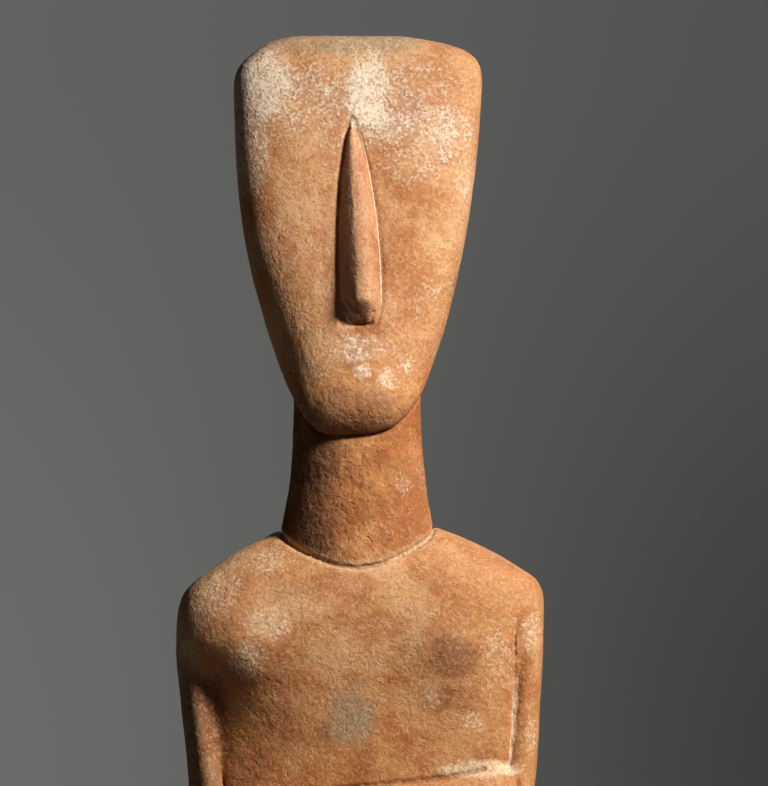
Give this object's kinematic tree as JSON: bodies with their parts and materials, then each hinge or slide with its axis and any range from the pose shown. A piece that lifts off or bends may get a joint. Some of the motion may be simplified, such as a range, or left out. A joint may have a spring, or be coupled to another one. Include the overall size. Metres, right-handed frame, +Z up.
{
  "type": "cycladic figurine",
  "caption": "Marble folded-arm figurine with a tilted lyre-shaped head and a plain wedge nose, standing with its toes in a low stone plinth.",
  "frame": {"origin": "centre of the plinth's underside", "axes": "+Z up, along the figure; -Y out of its face; +X to the right of someone who faces it"},
  "size_m": [0.16, 0.12, 0.666],
  "materials": {
    "weathered_marble": "granular weathered marble with an orange-brown patina and pale crust on the forehead",
    "dark_stone": "honed"
  },
  "bodies": {
    "root": {"figure": "weathered_marble", "plinth": "dark_stone"}
  },
  "joints": []
}
